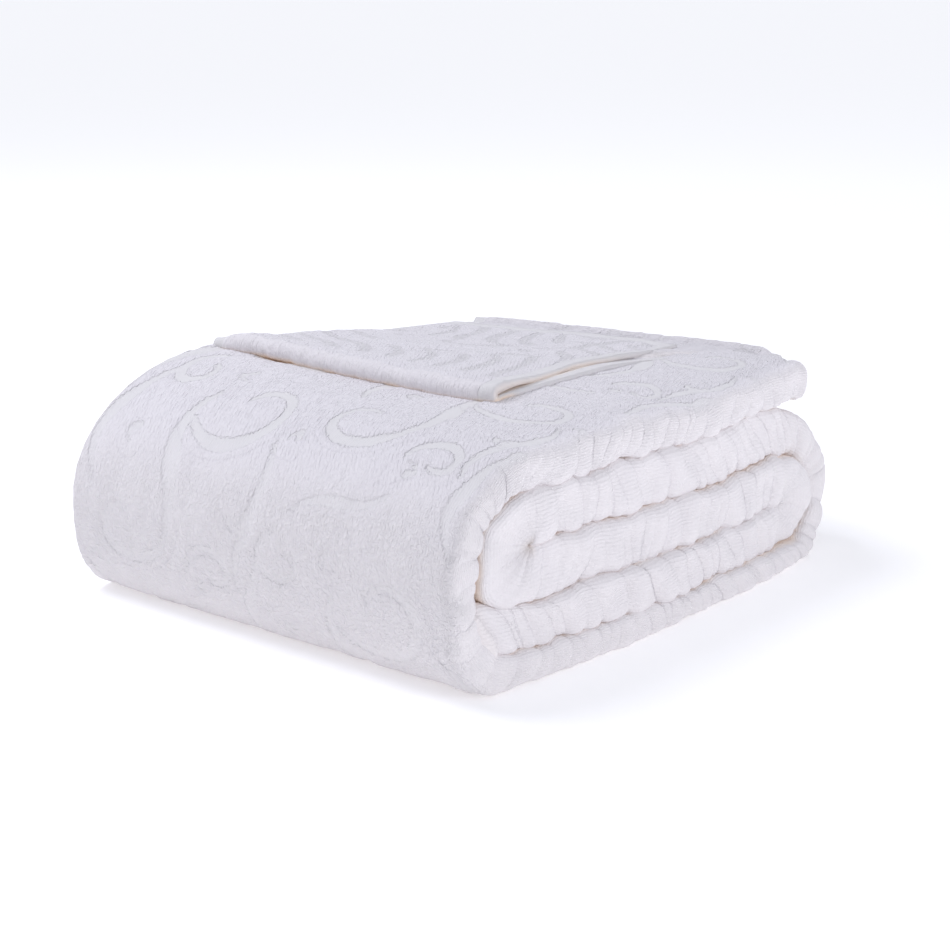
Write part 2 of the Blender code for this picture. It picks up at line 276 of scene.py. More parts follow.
def nearest(points, lines, widths):
    """Signed distance to the nearest line less its half width, for each point."""
    best = np.full(len(points), 1e9)
    side = np.zeros(len(points))
    for line, width in zip(lines, widths):
        low, high = line.min(axis=0) - 34.0, line.max(axis=0) + 34.0
        for du in (-1, 0, 1):
            for dv in (-2, -1, 0, 1, 2):
                # A half-drop repeat: each column of repeats is moved by half.
                shift = np.array([du * REPEAT[0], dv * REPEAT[1] + du * REPEAT[1] / 2])
                inside = ((points > low + shift) & (points < high + shift)).all(axis=1)
                if not inside.any():
                    continue
                p = points[inside] - shift
                a, b = line[:-1], line[1:]
                ab = b - a
                ap = p[:, None, :] - a[None]
                t = np.clip((ap * ab).sum(-1) / np.maximum((ab * ab).sum(-1), 1e-9), 0, 1)
                gap = ap - t[..., None] * ab
                d = np.sqrt((gap * gap).sum(-1))
                k = d.argmin(axis=1)
                rows = np.arange(len(p))
                dist = d[rows, k] - lerp(width[k], width[k + 1], t[rows, k]) / 2
                cross = ab[k, 0] * ap[rows, k, 1] - ab[k, 1] * ap[rows, k, 0]
                sign = np.where(cross < 0, -1.0, 1.0)
                now = best[inside]
                win = dist < now
                now[win] = dist[win]
                best[inside] = now
                sides = side[inside]
                sides[win] = sign[win]
                side[inside] = sides
    return best, side


def relief_table():
    nu, nv = int(REPEAT[0]), int(REPEAT[1])
    u, v = np.meshgrid(np.arange(nu) + 0.0, np.arange(nv) + 0.0, indexing="ij")
    points = np.stack([u.ravel(), v.ravel()], axis=1)
    bands = [spiral(s) for s in COMMAS] + [sweep(s) for s in SWEEPS]
    widths = [np.linspace(s["w0"], s["w1"], len(b)) * np.minimum(1, np.linspace(0.35, 4, len(b)))
              for s, b in zip(COMMAS, bands)]
    for s, b in zip(SWEEPS, bands[len(COMMAS):]):
        widths.append(np.interp(np.linspace(0, 1, len(b)), (0.0, 0.5, 1.0), s["w"]))
    for s in DROPS:
        curl = drop(s, 0.40)[9:23]
        bands.append(curl)
        widths.append(np.linspace(2.0, 6.0, len(curl)))
    low, _ = nearest(points, bands, widths)
    cuts = [drop(s) for s in DROPS]
    cuts += [spiral(s, 0.5 * s["w0"] + 6.0)[:26] for s in COMMAS[:2]]
    cut, side = nearest(points, cuts, [np.zeros(len(c)) for c in cuts])
    return low.reshape(nu, nv), np.clip(cut, 0, 30).reshape(nu, nv), side.reshape(nu, nv)


LOW_TABLE, CUT_TABLE, SIDE_TABLE = relief_table()


def look_up(table, u, v):
    nu, nv = table.shape
    turns = np.floor(u / REPEAT[0])
    u = u - turns * REPEAT[0]
    v = (v - turns * REPEAT[1] / 2) % REPEAT[1]
    # The repeat's next column is half a repeat lower, so rows past it shift.
    i, j = np.floor(u).astype(int), np.floor(v).astype(int)
    f, g = u - i, v - j
    half = int(REPEAT[1] / 2)
    i0, i1 = np.clip(i, 0, nu - 1), i + 1
    wrap = i1 >= nu
    i1 = np.where(wrap, 0, i1)
    j0, j1 = j % nv, (j + 1) % nv
    k0, k1 = np.where(wrap, j0 - half, j0) % nv, np.where(wrap, j1 - half, j1) % nv
    return lerp(
        lerp(table[i0, j0], table[i1, k0], f), lerp(table[i0, j1], table[i1, k1], f), g
    )


def relief(u, v):
    """Distance past the low bands' edge, signed and plain distance to a cut."""
    low = look_up(LOW_TABLE, u, v)
    plain = look_up(CUT_TABLE, u, v)
    signed = look_up(CUT_TABLE * SIDE_TABLE, u, v)
    return low, signed, plain


# --------------------------------------------------------- the strip, cut fine
def stations():
    """Rows along the strip: section, t and distance along the cloth."""
    rows, at = [], 0.0
    for n, s in enumerate(SECTIONS):
        curve = "back" if s["name"] in ("turn", "D") else "face"
        dense = np.linspace(0.0, 1.0, 1601)
        x, z = rib(s["name"], dense, curve, np.full(1601, 20.0))
        run = np.concatenate([[0.0], np.cumsum(np.hypot(np.diff(x), np.diff(z)))])
        cells = max(1, round(run[-1] / CELL))
        marks = np.linspace(0.0, run[-1], cells * FINE + 1)
        t = np.interp(marks, run, dense)
        first = 0 if n == 0 else 1
        for k in range(first, len(t)):
            rows.append((n, t[k], at + marks[k]))
        at += run[-1]
    return rows, at


class Column:
    """A column of the strip's outline: y and q as sums of a station's sizes."""

    def __init__(self, yc=0.0, yf=0.0, hem=None, way=0, ra=0.0, rb=0.0, out=0.0, up=0.0,
                 qa=0.0, qb=0.0, u=0.0, kind="inner", open_out=None, open_up=None):
        self.yc, self.yf, self.hem, self.way = yc, yf, hem, way
        self.open_out = out if open_out is None else open_out
        self.open_up = up if open_up is None else open_up
        self.ra, self.rb, self.out, self.up = ra, rb, out, up
        self.qa, self.qb, self.u, self.kind = qa, qb, u, kind

    def place(self, s):
        """(y, q) arrays for the stations s."""
        y = self.yc * s["yc"] + self.yf * s["yf"]
        if self.hem:
            y = y + self.hem[1] * s[self.hem[0]]
        r = self.ra + self.rb * s["g"]
        out = lerp(self.out, self.open_out, s["open"])
        up = lerp(self.up, self.open_up, s["open"])
        y = y + self.way * r * (s["wide"] if self.way < 0 else s["half"]) * s["pinch"] * out
        return y, (self.qa + self.qb * s["g"] + r * up) * s["pinch"]


def outline():
    """The columns of the closed outline, in order, and where cells start."""
    third = 1 / 3
    outer, inner = [], []
    skin = int(round((FAR_SIDE - 12.0) / CELL))
    roll_cells = 4
    half = 15.0  # usual half thickness, for distances round the bend

    def run(chain, qa, qb, end, forward, shares, u0=None, way=1.0, kind="inner"):
        shares = shares if forward else shares[::-1]
        for share in shares:
            column = Column(yc=1 - share, qa=qa, qb=qb, kind=kind)
            if end == "yf":
                column.yf = share
            else:
                column.hem = (end, share)
            if u0 is not None:
                column.u = u0 + way * share * (FAR_SIDE - 8.0)
            chain.append(column)

    def bend(chain, centre, cq, ra, rb, first, last, steps, way, u0=0.0, length=0.0, kind="inner"):
        dense = np.linspace(first, last, 2001)

        def curve(power, k):
            across = np.clip(np.sin(dense), 0.0, 1.0) ** power
            tall = np.sign(np.cos(dense)) * np.abs(np.cos(dense)) ** power
            run_on = np.concatenate([[0.0], np.cumsum(np.hypot(np.diff(across), np.diff(tall)))])
            at = run_on[-1] * k / steps
            return float(np.interp(at, run_on, across)), float(np.interp(at, run_on, tall))

        full = 2 / ROLL_FULLNESS if way < 0 else 1.0
        for k in range(1, steps):
            out, up = curve(full, k)
            # The half on the open side is rounder where nothing lies on it.
            soft = lerp(2 / OPEN_FULLNESS, full, float(smooth(0.15, -0.35, up))) if way < 0 else full
            open_out, open_up = curve(soft, k)
            chain.append(Column(**{centre: 1.0}, way=way, ra=ra, rb=rb, out=out, up=up,
                                qa=cq, u=u0 + length * k / steps, kind=kind,
                                open_out=open_out, open_up=open_up))

    fine = np.linspace(0.0, 1.0, skin * FINE + 1)
    arc = 3.45 * half
    run(outer, -1.0, 0.0, "lower", False, fine, u0=-arc, way=-1.0, kind="skin")
    bend(outer, "yc", 0.0, 1.0, 0.0, math.pi, 0.0, roll_cells * FINE, -1, u0=-arc, length=arc, kind="skin")
    run(outer, 1.0, 0.0, "yf", True, fine, u0=0.0, way=1.0, kind="skin")
    skin_count = len(outer)
    bend(outer, "yf", 2 * third, third, 0.0, 0.0, math.pi, FAR_BENDS, 1, u0=358.0, length=14.0, kind="far")
    base = list(range(0, skin_count, FINE)) + list(range(skin_count, len(outer)))

    def more(*args, **kw):
        n = len(outer)
        run(outer, *args, **kw)
        base.extend(range(n, len(outer)))

    def curl(*args, **kw):
        n = len(outer)
        bend(outer, *args, **kw)
        base.extend(range(n, len(outer)))

    more(third, 1.0, "yf", False, ACROSS)
    curl("yc", 0.0, third, 1.0, 0.0, math.pi, BENDS[0], -1)
    more(-third, -1.0, "yf", True, ACROSS)
    curl("yf", -third, 0.0, 1.0, math.pi, 0.0, 3, 1)
    more(-third, 1.0, "yf", False, ACROSS)
    curl("yc", 0.0, third, -1.0, math.pi, 0.0, BENDS[1], -1)
    more(third, -1.0, "upper", True, ACROSS)

    run(inner, -2 * third, -1.0, "lower", False, ACROSS)
    bend(inner, "yc", 0.0, 2 * third, 1.0, math.pi, 0.0, 7, -1)
    run(inner, 2 * third, 1.0, "yf", True, ACROSS)
    bend(inner, "yf", 2 * third, 0.0, 1.0, 0.0, math.pi, 3, 1)
    run(inner, 2 * third, -1.0, "yf", False, ACROSS)
    bend(inner, "yc", 0.0, 2 * third, -1.0, 0.0, math.pi, BENDS[0], -1)
    run(inner, -2 * third, 1.0, "yf", True, ACROSS)
    bend(inner, "yf", -third, third, -1.0, math.pi, 0.0, FAR_BENDS, 1, kind="far")
    run(inner, 0.0, -1.0, "yf", False, ACROSS)
    bend(inner, "yc", 0.0, 0.0, 1.0, math.pi, 0.0, BENDS[1], -1)
    run(inner, 0.0, 1.0, "upper", True, ACROSS)
    n = len(outer)
    outer.extend(inner[::-1])
    base.extend(range(n, len(outer)))
    return outer, base, skin_count


def cross_cuts(total, v, heading):
    """Grooves that cross the rolled edges: place, slant, bow and depth."""
    rng = np.random.default_rng(23)
    at, rows = 6.0, []
    while at < total:
        way = float(np.interp(at, v, heading))  # which way along x the strip runs here
        rows.append((at, way * rng.uniform(-0.32, 0.16), -way * rng.uniform(0.004, 0.019), rng.uniform(0.3, 1.0)))
        at += rng.choice([8.0, 12.0, 16.0, 21.0, 28.0], p=[0.12, 0.26, 0.30, 0.22, 0.10]) * rng.uniform(0.85, 1.15)
    return np.array(rows)


def body_points():
    rows, total = stations()
    columns, base, skin_count = outline()
    section = np.array([r[0] for r in rows])
    t = np.array([r[1] for r in rows])
    v = np.array([r[2] for r in rows])
    n, m = len(rows), len(columns)
    x, y, z = np.empty((n, m)), np.empty((n, m)), np.empty((n, m))
    for k, row in enumerate(SECTIONS):
        pick = section == k
        tk = t[pick]
        edge, side = through(row["edge"], tk), through(row["side"], tk)
        fx, fz = rib(row["name"], tk, "face", 0.0)
        bx, bz = rib(row["name"], tk, "back", 0.0)
        half = np.hypot(fx - bx, fz - bz) / 2
        pinch = np.ones(len(tk))
        for layer, past in (("A", v[pick]), ("D", total - v[pick])):
            reach, left = END_PINCH[layer]
            near = np.clip(past / reach, 0.0, 1.0)
            pinch = pinch * lerp(left, 1.0, np.sqrt(1 - (1 - near) ** 2))
        wide = np.minimum(half, 15.5)
        if row["name"] in ("roll", "turn"):
            wide = wide * (1 - 0.5 * np.sin(math.pi * tk))
        sizes = {
            "yc": edge + wide,
            "wide": wide,
            "yf": FAR_SIDE + side - FAR_FOLD,
            "lower": FAR_SIDE + side - HEM_BACK["lower"],
            "upper": FAR_SIDE + side - HEM_BACK["upper"],
            "half": half,
            "g": PLY_GAP / 2 / half,
            "pinch": pinch,
            "open": {"A": 1.0, "front": 1.0, "E": 1.0, "end": 1 - smooth(0.35, 1.0, tk)}.get(row["name"], 0.0),
        }
        placed = [c.place(sizes) for c in columns]
        ys = np.stack([p[0] for p in placed], axis=1)
        qs = np.stack([p[1] for p in placed], axis=1)
        fx, fz = rib(row["name"], tk[:, None], "face", ys)
        bx, bz = rib(row["name"], tk[:, None], "back", ys)
        if row["name"] == "D":  # its end swells into the room under the roll
            fz = fz + 7.0 * smooth(34.0, -8.0, fx - 18.0 * side_share(ys))
        x[pick] = lerp(bx, fx, (qs + 1) / 2)
        y[pick] = ys
        z[pick] = lerp(bz, fz, (qs + 1) / 2)
    x, y, z = settle(x, y, z)
    u = np.array([c.u for c in columns])
    return np.stack([x, y, z], axis=2), section, t, v, u, columns, base, skin_count, total


def grid_normals(p):
    du = np.gradient(p, axis=1)
    dv = np.gradient(p, axis=0)
    normal = np.cross(du, dv)
    return normal / np.maximum(np.linalg.norm(normal, axis=2, keepdims=True), 1e-9)


def edge_puffs(u, v, cuts):
    """Bulge from 0 at a crossing groove to 1 between two, and the signed
    distance to the nearest groove with its depth."""
    off = u[..., None] + 25.5
    line = cuts[:, 0] + cuts[:, 1] * off + cuts[:, 2] * np.minimum(off * off, 700.0)
    gap = v[..., None] - line
    k = np.abs(gap).argmin(axis=-1)
    signed = np.take_along_axis(gap, k[..., None], axis=-1)[..., 0]
    depth = cuts[k, 3]
    before = np.where(gap >= 0, gap, 1e3).min(axis=-1)
    after = np.where(gap < 0, -gap, 1e3).min(axis=-1)
    width = np.clip(before + after, 6.0, 60.0)
    bulge = np.clip(4 * before * after / width**2, 0.0, 1.0) ** 0.8
    return bulge * np.clip(width / 22.0, 0.35, 1.35), signed, depth


def build_body():
    p, section, t, v, u, columns, base, skin_count, total = body_points()
    n = p.shape[0]
    names = [s["name"] for s in SECTIONS]
    skin = p[:, :skin_count]
    normal = grid_normals(skin)
    uu, vv = np.meshgrid(u[:skin_count], v, indexing="xy")

    low, signed, plain = relief(uu, vv)
    middle = skin[:, np.abs(u[:skin_count] + 25.5).argmin()]
    heading = np.sign(np.gradient(middle[:, 0]))
    cuts = cross_cuts(total, v, heading)
    bulge, cross, depth = edge_puffs(uu, vv, cuts)

    # The rolled edge's share of each point: 1 on the bend, fading past it.
    ragged = 6.0 * noise(uu, vv, 21.0, 3)
    past = np.maximum(uu, -51.0 - uu)
    zone = 1 - smooth(0.0, 17.0, past + ragged)
    open_side = np.isin(np.array(names)[section], ["A", "front", "E", "end"])[:, None] & (uu > -25.5)
    zone = np.where(open_side, 1 - smooth(-21.0, -3.0, uu + 0.7 * ragged), zone)
    sec = np.array(names)[section][:, None]
    depth = depth * np.clip(0.75 + 0.9 * noise(uu, vv, 17.0, 21), 0.0, 1.2)
    turning = np.where(np.isin(sec, ["roll", "turn"]), 1.0, 0.0)
    depth = depth * (1 - 0.8 * turning)
    bulge = bulge * (1 - 0.6 * turning) * np.where(sec == "front", 0.55, 1.0)
    depth = depth * np.where(np.isin(sec, ["A", "front", "E", "end"]), 1 - 0.85 * smooth(-16.0, -2.0, uu), 1.0)
    high = smooth(-1.8, 2.0, low + 1.5 * noise(uu, vv, 4.6, 1))
    groove = np.exp(-((signed / 1.7) ** 2)) * (plain < 6.0)
    lumps = 0.5 * noise(uu, vv, 5.2, 4) + 0.35 * noise(uu, vv, 2.9, 5)
    flat_part = 1.05 * (high - 0.5) - 0.2 * groove + lumps * (0.15 + 0.5 * high)
    crossing = np.exp(-((cross / 2.1) ** 2)) * depth
    # Layers touch where two rolled edges meet; the same mask also paints a warm shade into that crease.
    off_middle = np.where(uu > -25.5, uu + 25.5, -25.5 - uu)
    outer = np.isin(np.array(names)[section], ["A", "front", "E", "end"])[:, None]
    crease = smooth(14.0, 23.0, off_middle) * (1 - smooth(60.0, 75.0, off_middle))
    crease = crease * np.where(outer & (uu > -25.5), 0.0, 1.0)
    edge_part = -0.6 + 2.5 * bulge * (1 - 0.35 * crease) - 0.9 * crossing + 0.2 * noise(uu, vv, 9.0, 7) + 0.2 * lumps
    pit = (sec == "roll") * smooth(-33.0, -42.0, uu)  # the cloth gathers to a point there
    edge_part = (edge_part + 1.2 * crease) * (1 - pit)
    soft = 1.3 * noise(uu, vv, 46.0, 8) + 0.8 * noise(uu, vv, 19.0, 9)
    lift = lerp(flat_part, edge_part, zone) + soft * 0.8

    # What shows: layer A's top, the front bulge, the far end, and the rolled
    # edge of every layer.
    face = uu > -8.0
    shown = face & np.isin(sec, ["A", "front", "end"])
    shown = shown | (uu >= -51.0) & (past < ZONE + 6.0) | (uu < -51.0) & (past < 15.0)
    # Layers keep clear of each other behind the rolled edge.
    hidden = ~shown
    calm = np.where(hidden, 0.0, 1.0)
    flat_zone = np.isin(sec, ["E", "B", "roll", "C", "turn", "D"])
    calm = np.where(flat_zone, 1 - smooth(6.0, 20.0, past), calm)
    inside = (uu < -40.0) & ~np.isin(sec, ["turn", "D"])
    calm = np.where(inside, calm * (1 - smooth(-44.0, -62.0, uu)), calm)
    moved = skin + normal * (lift * calm)[..., None]
    p[:, :skin_count] = moved
    p[..., 2] = np.maximum(p[..., 2], 0.0)

    # Cells.
    base = np.array(base)
    cells_v, cells_u = (n - 1) // FINE, len(base)
    fine_ok = np.array([
        k + 1 < len(base) and base[k + 1] - base[k] == FINE for k in range(cells_u)
    ])
    want = np.zeros((cells_v, cells_u), bool)
    for k in np.flatnonzero(fine_ok):
        j = base[k] + FINE // 2
        for i in range(cells_v):
            want[i, k] = shown[i * FINE + FINE // 2, j]
    m = p.shape[1]

    def vid(i, j):
        return i * m + j % m

    faces = []
    ii, kk = np.nonzero(want)
    for i, k in zip(ii, kk):
        i0, j0 = i * FINE, base[k]
        for a in range(FINE):
            for b in range(FINE):
                faces.append((vid(i0 + a, j0 + b), vid(i0 + a, j0 + b + 1),
                              vid(i0 + a + 1, j0 + b + 1), vid(i0 + a + 1, j0 + b)))

    def edge_u(i, k):
        """Columns along station i of cell k, cut finely if a neighbour is."""
        j0 = base[k]
        if k + 1 == len(base):
            return [vid(i, j0), vid(i, 0)]
        j1 = base[k + 1]
        c = i // FINE
        fine = fine_ok[k] and ((c < cells_v and want[c, k]) or (c > 0 and want[c - 1, k]))
        return [vid(i, j) for j in (range(j0, j1 + 1) if fine else (j0, j1))]

    def edge_v(i0, k):
        """Rows along base column k from station i0, cut finely if need be."""
        c, kl = i0 // FINE, (k - 1) % len(base)
        fine = want[c, k % len(base)] or want[c, kl]
        j = base[k % len(base)]
        return [vid(i, j) for i in (range(i0, i0 + FINE + 1) if fine else (i0, i0 + FINE))]

    for i in range(cells_v):
        for k in range(cells_u):
            if want[i, k]:
                continue
            low_edge, high_edge = edge_u(i * FINE, k), edge_u((i + 1) * FINE, k)
            left, right = edge_v(i * FINE, k), edge_v(i * FINE, k + 1)
            loop = low_edge + right[1:] + high_edge[::-1][1:] + left[::-1][1:-1]
            faces.append(tuple(loop))
    for i, flip in ((0, True), (n - 1, False)):
        loop = []
        for k in range(cells_u):
            loop += edge_u(i, k)[:-1]
        faces.append(tuple(loop[::-1] if flip else loop))

    used = np.zeros(n * m, bool)
    for f in faces:
        used[list(f)] = True
    index = np.cumsum(used) - 1
    points = (p.reshape(-1, 3)[used] - SHIFT) * MM
    faces = [tuple(int(index[a]) for a in f) for f in faces]

    def spread(values, other=0.0):
        full = np.full((n, m), other)
        full[:, :skin_count] = values
        return full.ravel()[used]

    far_u = np.broadcast_to(u, (n, m)).ravel()[used]
    far_v = np.broadcast_to(v[:, None], (n, m)).ravel()[used]
    cut_signed = np.where(zone > 0.35, cross, signed)
    # Painted light: on_top tints the upward-facing cloth cooler and more lavender than the upright cloth, for the light
    # falling on the top.
    on_top = smooth(0.30, 1.0, normal[..., 2]) * np.isin(sec, ["A", "front", "end"]) * (1 - zone)
    cut_plain = np.where(zone > 0.35, np.abs(cross), plain)
    # Painted shade: under marks where a tan is painted, in the crevice under the flap's fold, in the hollow at D's end
    # and in the roll's pit.
    fold_x = lerp(FLAP["near"]["x_front"], FLAP["far"]["x_front"], side_share(skin[..., 1]))
    under = smooth(-1.5, 4.0, skin[..., 0] - fold_x) * smooth(40.0, 20.0, skin[..., 0] - fold_x)
    under = under * smooth(88.0, 100.0, skin[..., 1]) * (sec == "A") * (uu > 0.0)
    under = under * smooth(355.0, 338.0, skin[..., 1])
    hollow = (sec == "D") * smooth(14.0, 4.0, total - vv) * smooth(-46.0, -30.0, uu) * smooth(10.0, -6.0, uu)
    under = np.maximum(under, np.maximum(0.06 * hollow, 0.20 * pit))
    looks = {
        "cloth": np.stack([far_u, far_v, np.zeros_like(far_u)], axis=1) * MM,
        "relief": np.stack([spread(np.clip(low, -9, 9), 4.0), spread(np.clip(cut_signed, -9, 9), 9.0),
                            spread(np.clip(cut_plain, 0, 9), 9.0)], axis=1),
        # Painted shade: the third value here paints a warm tint into the creases.
        "finish_and_crease_shade": np.stack([spread(zone), spread((sec == "roll") * smooth(-37.0, -43.0, uu)), spread(crease, 0.1)], axis=1),
        "shade_and_depth": np.stack([spread(on_top), spread(under), spread(depth * (1 - 0.9 * pit), 0.5)], axis=1),
    }
    return points, faces, looks


# ------------------------------------------------------------------- the flap
def flap_rows(columns):
    """Rows of the flap's middle line: (y, x, z, nx, nz, part, distance)."""
    span = columns[0] - columns[-1]

    def sizes(y):
        share = side_share(y)
        found = {c: lerp(FLAP["near"][c], FLAP["far"][c], share) for c in FLAP["near"]}
        found["open_front"] = found["open_front"] * (1 - 0.5 * smooth(322.0, 360.0, y))
        return found

    def corner(y):
        """The fold's two corners are rounded a little in plan."""
        return 1.5 * smooth(345.0, 362.0, y) + 2.0 * smooth(106.0, 90.0, y)

    def top(x, y):
        x0, z0 = rib("A", 0.0, "face", y)
        x1, z1 = rib("A", 1.0, "face", y)
        return lerp(z0, z1, (x - x0) / (x1 - x0))

    def round_end(angle):
        def at(y):
            fx, fz = strip_end("A", "face", y)
            bx, bz = strip_end("A", "back", y)
            low = bz + (fz - bz) / PLIES / 2
            high = fz + FLAP_AIR + FLAP_CLOTH / 2
            r, zc = (high - low) / 2, (high + low) / 2
            return bx + 1.0 + r * math.sin(angle), zc - r * math.cos(angle), math.sin(angle), -math.cos(angle)
        return at

    def tuck(back):
        def at(y):
            x, z, nx, nz = round_end(0.0)(y)
            return x - back, z, nx + 0 * y, nz + 0 * y
        return at

    def lower(t):
        def at(y):
            s, x0 = sizes(y), strip_end("A", "face", y)[0]
            x = lerp(x0, s["x_front"] + s["open_front"] / 2 + corner(y), t)
            return x, top(x, y) + FLAP_AIR + FLAP_CLOTH / 2, 0.0, 1.0
        return at

    def front(angle):
        def at(y):
            s = sizes(y)
            r = s["open_front"] / 2
            x = s["x_front"] + r + corner(y)
            zc = top(x, y) + FLAP_AIR + FLAP_CLOTH / 2 + r
            return x - r * math.sin(angle), zc - r * math.cos(angle), math.sin(angle), math.cos(angle)
        return at

    def upper(t):
        def at(y):
            s = sizes(y)
            x = lerp(s["x_front"] + s["open_front"] / 2 + corner(y), s["x_end"], t)
            # The two plies lie together but for a lip at the near hem.
            lip = 0.4 * np.exp(-np.clip(y - 96.0, 0.0, None) / 9.0) * (1 - 0.6 * t)
            shut = s["open_end"] - 1.2 + lip
            gap = shut + (s["open_front"] - shut) * (1 - smooth(0.0, 0.30, t))
            return x, top(x, y) + FLAP_AIR + FLAP_CLOTH / 2 + gap, 0.0, -1.0
        return at

    plan = [("tuck", FLAP_HEM["corner"], tuck(b)) for b in (18.0, 9.0)]
    plan += [("end", FLAP_HEM["corner"], round_end(a)) for a in np.linspace(0, math.pi, 21)]
    for t in np.linspace(0.0, 1.0, 101)[1:-1]:
        hem = lerp(FLAP_HEM["corner"], FLAP_HEM["lower"], min(1.0, t / 0.35) ** 0.8)
        plan.append(("lower", lerp(hem, FLAP_HEM["fold"], max(0.0, (t - 0.35) / 0.65)), lower(t)))
    plan += [("front", FLAP_HEM["fold"], front(a)) for a in np.linspace(0, math.pi, 13)]
    for t in np.linspace(0.0, 1.0, 106)[1:]:
        plan.append(("upper", lerp(FLAP_HEM["fold"], FLAP_HEM["upper"], min(1.0, t / 0.45)), upper(t)))
    rows = []
    for part, hem_y, at in plan:
        y = lerp(columns[0], hem_y, (columns[0] - columns) / span)
        x, z, nx, nz = at(y)
        rows.append((part, np.stack([x + 0 * y, y, z + 0 * y], axis=1),
                     np.stack([nx + 0 * y, 0 * y, nz + 0 * y], axis=1)))
    return rows


def build_flap():
    columns = np.linspace(359.0, FLAP_HEM["corner"], 133)
    rows = flap_rows(columns)
    mid = np.stack([r[1] for r in rows])
    outward = np.stack([r[2] for r in rows])
    part = np.array([r[0] for r in rows])
    n, m = mid.shape[:2]
    x, y, z = settle(mid[..., 0], mid[..., 1], mid[..., 2])
    mid = np.stack([x, y, z], axis=2)
    step = np.linalg.norm(np.diff(mid[:, m // 2], axis=0), axis=1)
    v = np.concatenate([[0.0], np.cumsum(step)])
    across = np.linalg.norm(np.diff(mid, axis=1), axis=2)
    to_hem = np.concatenate([np.cumsum(across[:, ::-1], axis=1)[:, ::-1], np.zeros((n, 1))], axis=1)
    to_far = np.concatenate([np.zeros((n, 1)), np.cumsum(across, axis=1)], axis=1)
    vv = np.broadcast_to(v[:, None], (n, m))
    to_end = v[-1] - vv

    hem = 1 - smooth(10.6, 11.8, np.minimum(to_hem, np.minimum(to_far, to_end)))
    stitch = np.exp(-(((np.minimum(to_hem, np.minimum(to_far, to_end)) - 11.6) / 1.3) ** 2))
    low, signed, plain = relief(to_hem * 0.8 + vv * 0.45 + 40.0, vv * 0.9 - to_hem * 0.35 + 60.0)
    # Long curves that run side by side cover most of the flap.
    run_a = 0.80 * to_hem - 0.60 * vv + 16.0 * np.sin((0.60 * to_hem + 0.80 * vv) / 31.0)
    run_a = run_a + 9.0 * np.sin((0.60 * to_hem + 0.80 * vv) / 74.0 + 1.2)
    waves = np.abs((run_a / 27.0) % 1.0 - 0.5) * 27.0 - 4.8 - 1.2 * noise(to_hem, vv, 60.0, 17)
    low = np.where(noise(to_hem, vv, 95.0, 18) > 0.28, np.minimum(low, waves + 5.0), waves)
    plain = np.full_like(plain, 9.0)
    rounded = (part == "front").nonzero()[0]
    along = np.minimum(np.abs(v - v[rounded[0]]), np.abs(v - v[rounded[-1]]))
    along[rounded] = 0.0
    low = np.maximum(low, 8.0 * smooth(26.0, 12.0, along)[:, None])
    high = smooth(-2.0, 2.4, low)
    groove = np.exp(-((signed / 1.8) ** 2)) * (plain < 6.0)
    lumps = 0.5 * noise(to_hem, vv, 6.0, 12) + 0.35 * noise(to_hem, vv, 3.0, 13)
    field = 1 - hem
    lift = field * (1.3 * (high - 0.5) + 0.45 * lumps) + hem * (0.25 + 0.2 * lumps) - 0.7 * stitch
    soft = 1.2 * noise(to_hem, vv, 52.0, 14) + 0.7 * noise(to_hem, vv, 23.0, 15)
    upper = np.isin(part, ["upper"])[:, None] | np.isin(part, ["front"])[:, None]
    is_lower = np.isin(part, ["lower"])[:, None]
    half = FLAP_CLOTH / 2 + 0.25 * hem
    sink = np.where(np.isin(part, ["tuck", "end"])[:, None], 0.0, -1.3)
    mid = mid + np.array([0.0, 0.0, 1.0]) * (sink + np.where(upper, soft * 0.8 + 0.4, 0.0))[..., None]
    # outward is the side towards layer A on the way there and back.
    # On the way back the outward side is on top.
    from_fold = np.where(np.isin(part, ["upper"])[:, None], np.abs(x - x[part == "front"][-1][None, :]), 0.0)
    near_fold = np.where(upper, np.exp(-((from_fold / 30.0) ** 2)), 0.0)
    plump = 1.6 * near_fold * smooth(359.0, 335.0, y) * (1 + 0.8 * noise(to_hem, 0.5 * vv, 26.0, 19))
    plump = plump + near_fold * (0.7 * noise(to_hem, vv, 9.0, 20) + 0.4 * noise(to_hem, vv, 5.0, 21))
    lift = lift + plump
    top_lift = np.where(upper, lift, 0.0)
    droop = -3.2 * smooth(22.0, 0.0, np.maximum(0.0, 359.0 - y)) * np.where(upper, 1.0, 0.3)
    droop = droop - 2.6 * smooth(352.0, 386.0, x) * np.where(is_lower, 1.0, 0.0)
    # Past the fold the lower ply's hem beds into the pile under it.
    bedded = smooth(34.0, 6.0, to_hem) * smooth(270.0, 345.0, x) * np.where(is_lower, 1.0, 0.0)
    droop = droop - 4.6 * bedded
    droop = droop - 3.3 * smooth(40.0, 4.0, to_hem) * smooth(255.0, 340.0, x) * np.isin(part, ["upper"])[:, None]
    mid = mid + np.array([0.0, 0.0, 1.0]) * droop[..., None]
    wrapped = np.where(part == "end", 1.0, 0.0)[:, None] * smooth(30.0, 8.0, to_hem)
    mid = mid - outward * (4.4 * wrapped)[..., None]
    down = mid + outward * (half + np.where(upper, 0.0, lift))[..., None]
    up = mid - outward * (half + np.where(is_lower, 0.6 * lift, 0.2))[..., None]
    up_side = mid - outward * (half + 0 * top_lift)[..., None]
    down_side = down
    flip = np.isin(part, ["upper", "front"])[:, None, None]
    up_side = np.where(flip, mid - outward * (half)[..., None], up)
    # For the upper ply, -outward points up.
    up_side = np.where(np.isin(part, ["upper"])[:, None, None],
                       mid - outward * (half + top_lift)[..., None], up_side)
    down_side = np.where(np.isin(part, ["front"])[:, None, None],
                         mid + outward * half[..., None], down_side)
    up_side = np.where(np.isin(part, ["front"])[:, None, None],
                       mid - outward * (half + lift)[..., None], up_side)

    faces = []

    def vid(side, i, j):
        return (side * n + i) * m + j

